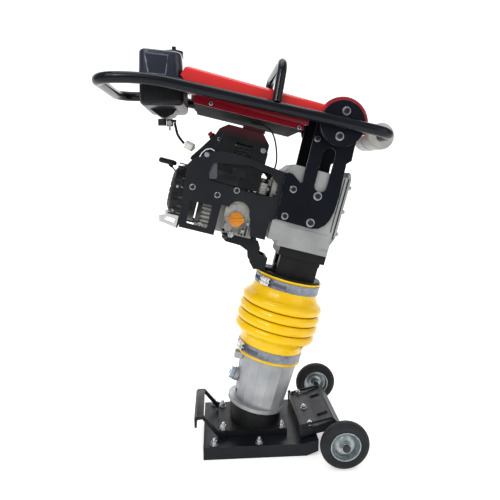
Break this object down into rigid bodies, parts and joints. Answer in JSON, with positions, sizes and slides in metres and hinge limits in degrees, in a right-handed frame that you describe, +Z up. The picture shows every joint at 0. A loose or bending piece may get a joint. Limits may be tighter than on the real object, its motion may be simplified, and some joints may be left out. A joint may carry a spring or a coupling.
{
  "type": "jumping jack rammer",
  "caption": "Upright petrol tamping rammer: flat foot, yellow bellows on a leaning stem, caged engine, loop handle with tank, and transport wheels.",
  "frame": {"origin": "middle of the sole's flat underside", "axes": "+Z up out of the floor, +X forward to the transport wheels, +Y to the operator's left"},
  "size_m": [0.8215, 0.464, 1.178],
  "materials": {
    "sole": "satin black",
    "foot_flange": "satin black",
    "foot_nuts": "zinc plated",
    "rear_handle": "satin black",
    "lower_cylinder": "cast",
    "sight_glass": "clear",
    "spring_cylinder": "zinc plated",
    "bellows": "glossy yellow",
    "lower_clamp": "zinc plated",
    "wheel_bracket": "satin black",
    "axle": "zinc plated",
    "tyre_right": "matt",
    "rim_right": "zinc plated",
    "tyre_left": "matt",
    "rim_left": "zinc plated",
    "ram_piston": "zinc plated",
    "ram_springs": "zinc plated",
    "guide_cylinder": "black painted casting",
    "engine_strut": "satin black",
    "upper_clamp": "zinc plated",
    "gearcase": "cast",
    "gearcase_cover": "cast",
    "upper_bolts": "zinc plated",
    "shaft_bearings": "zinc plated",
    "engine_block": "cast",
    "engine_cylinder": "cast",
    "engine_shroud": "moulded black",
    "muffler": "zinc plated",
    "carburettor": "cast",
    "ignition_parts": "moulded black",
    "recoil_housing": "moulded black",
    "mount_plates": "satin black",
    "guard_plates": "satin black",
    "rubber_mounts": "matt",
    "fuel_filter": "grey white",
    "fuel_hose": "matt",
    "throttle_cable": "matt",
    "bull_gear": "zinc plated",
    "pinion_shaft": "zinc plated",
    "connecting_rod": "zinc plated",
    "engine_shaft": "zinc plated",
    "flywheel_fan": "zinc plated",
    "starter_grip": "matt",
    "starter_rope": "moulded black",
    "oil_filler_cap": "orange",
    "stop_switch_knob": "red",
    "choke_lever": "zinc plated",
    "handle_frame": "satin black",
    "lifting_hoop": "satin black",
    "handle_plates": "satin black",
    "handle_bolts": "zinc plated",
    "handle_hood": "red",
    "hood_underplate": "satin black",
    "tank_upper": "moulded black",
    "tank_lower": "moulded black",
    "fuel_tap": "zinc plated",
    "front_roller": "grey white",
    "fuel_cap": "moulded black",
    "fuel_tap_lever": "zinc plated",
    "throttle_lever": "moulded black"
  },
  "bodies": {
    "foot": {"sole": "sole", "foot_flange": "foot_flange", "foot_nuts": "foot_nuts", "rear_handle": "rear_handle", "lower_cylinder": "lower_cylinder", "sight_glass": "sight_glass", "spring_cylinder": "spring_cylinder", "bellows": "bellows", "lower_clamp": "lower_clamp", "wheel_bracket": "wheel_bracket", "axle": "axle"},
    "wheel_right": {"tyre_right": "tyre_right", "rim_right": "rim_right"},
    "wheel_left": {"tyre_left": "tyre_left", "rim_left": "rim_left"},
    "ram": {"ram_piston": "ram_piston", "ram_springs": "ram_springs"},
    "upper": {"guide_cylinder": "guide_cylinder", "engine_strut": "engine_strut", "upper_clamp": "upper_clamp", "gearcase": "gearcase", "gearcase_cover": "gearcase_cover", "upper_bolts": "upper_bolts", "shaft_bearings": "shaft_bearings", "engine_block": "engine_block", "engine_cylinder": "engine_cylinder", "engine_shroud": "engine_shroud", "muffler": "muffler", "carburettor": "carburettor", "ignition_parts": "ignition_parts", "recoil_housing": "recoil_housing", "mount_plates": "mount_plates", "guard_plates": "guard_plates", "rubber_mounts": "rubber_mounts", "fuel_filter": "fuel_filter", "fuel_hose": "fuel_hose", "throttle_cable": "throttle_cable"},
    "crank": {"bull_gear": "bull_gear"},
    "pinion": {"pinion_shaft": "pinion_shaft"},
    "rod": {"connecting_rod": "connecting_rod"},
    "engine_rotor": {"engine_shaft": "engine_shaft", "flywheel_fan": "flywheel_fan"},
    "starter": {"starter_grip": "starter_grip", "starter_rope": "starter_rope"},
    "oil_cap": {"oil_filler_cap": "oil_filler_cap"},
    "stop_switch": {"stop_switch_knob": "stop_switch_knob"},
    "choke": {"choke_lever": "choke_lever"},
    "handle": {"handle_frame": "handle_frame", "lifting_hoop": "lifting_hoop", "handle_plates": "handle_plates", "handle_bolts": "handle_bolts", "handle_hood": "handle_hood", "hood_underplate": "hood_underplate", "tank_upper": "tank_upper", "tank_lower": "tank_lower", "fuel_tap": "fuel_tap"},
    "roller": {"front_roller": "front_roller"},
    "fuel_cap": {"fuel_cap": "fuel_cap"},
    "tap_lever": {"fuel_tap_lever": "fuel_tap_lever"},
    "throttle": {"throttle_lever": "throttle_lever"}
  },
  "joints": [
    {"name": "leg_stroke", "type": "slide", "parent": "foot", "child": "upper", "axis": [0.2504, 0, 0.9681], "range_m": [0, 0.06], "stiffness_N_per_m": 30000, "springref_m": 0.016, "deforming": ["bellows"]},
    {"name": "ram_stroke", "type": "slide", "parent": "foot", "child": "ram", "axis": [0.2504, 0, 0.9681], "range_m": [-0.03, 0], "stiffness_N_per_m": 40000, "springref_m": 0.001, "deforming": ["ram_springs"]},
    {"name": "right_wheel_spin", "type": "hinge", "parent": "foot", "child": "wheel_right", "pos_m": [0.23, -0.208, 0.0707], "axis": [0, 1, 0], "continuous": true},
    {"name": "left_wheel_spin", "type": "hinge", "parent": "foot", "child": "wheel_left", "pos_m": [0.23, 0.208, 0.0707], "axis": [0, 1, 0], "continuous": true},
    {"name": "crank_spin", "type": "hinge", "parent": "upper", "child": "crank", "pos_m": [0.13094, 0, 0.75733], "axis": [0.9681, 0, -0.2504], "continuous": true},
    {"name": "pinion_spin", "type": "hinge", "parent": "upper", "child": "pinion", "pos_m": [0.11341, 0, 0.68955], "axis": [0.9681, 0, -0.2504], "continuous": true},
    {"name": "rod_swing", "type": "hinge", "parent": "crank", "child": "rod", "pos_m": [0.15053, 0, 0.72127], "axis": [0.9681, 0, -0.2504], "continuous": true},
    {"name": "engine_spin", "type": "hinge", "parent": "upper", "child": "engine_rotor", "pos_m": [-0.05311, 0, 0.73262], "axis": [0.9681, 0, -0.2504], "continuous": true},
    {"name": "starter_pull", "type": "slide", "parent": "upper", "child": "starter", "axis": [-0.8247, 0, 0.5655], "range_m": [0, 0.4], "stiffness_N_per_m": 60, "springref_m": -0.05},
    {"name": "oil_cap_turn", "type": "hinge", "parent": "upper", "child": "oil_cap", "pos_m": [-0.06697, -0.09, 0.69902], "axis": [0, 1, 0], "range_deg": [-90, 0]},
    {"name": "stop_button", "type": "slide", "parent": "upper", "child": "stop_switch", "axis": [0.6546, 0, -0.756], "range_m": [0, 0.004], "stiffness_N_per_m": 400, "springref_m": -0.002},
    {"name": "choke_turn", "type": "hinge", "parent": "upper", "child": "choke", "pos_m": [0.02336, -0.046, 0.80064], "axis": [0, 1, 0], "range_deg": [-60, 0]},
    {"name": "handle_flex", "type": "hinge", "parent": "upper", "child": "handle", "pos_m": [0.21511, 0, 0.9566], "axis": [0, 1, 0], "range_deg": [-2.5, 2.5], "stiffness_Nm_per_rad": 3000, "springref_deg": 0.46, "deforming": ["fuel_hose", "throttle_cable"]},
    {"name": "roller_spin", "type": "hinge", "parent": "handle", "child": "roller", "pos_m": [0.346, 0, 0.929], "axis": [0, 1, 0], "continuous": true},
    {"name": "fuel_cap_turn", "type": "hinge", "parent": "handle", "child": "fuel_cap", "pos_m": [-0.238, 0, 1.15], "axis": [0, 0, 1], "range_deg": [0, 90]},
    {"name": "fuel_tap_turn", "type": "hinge", "parent": "handle", "child": "tap_lever", "pos_m": [-0.25, -0.022, 0.968], "axis": [0, 1, 0], "range_deg": [-90, 0]},
    {"name": "throttle_swing", "type": "hinge", "parent": "handle", "child": "throttle", "pos_m": [-0.12, 0.194, 1.02938], "axis": [0, 1, 0], "range_deg": [-60, 0]}
  ],
  "couplings": [
    {"joint": "pinion_spin", "follows": "crank_spin", "ratio": -3},
    {"joint": "rod_swing", "follows": "crank_spin", "ratio": -1}
  ]
}
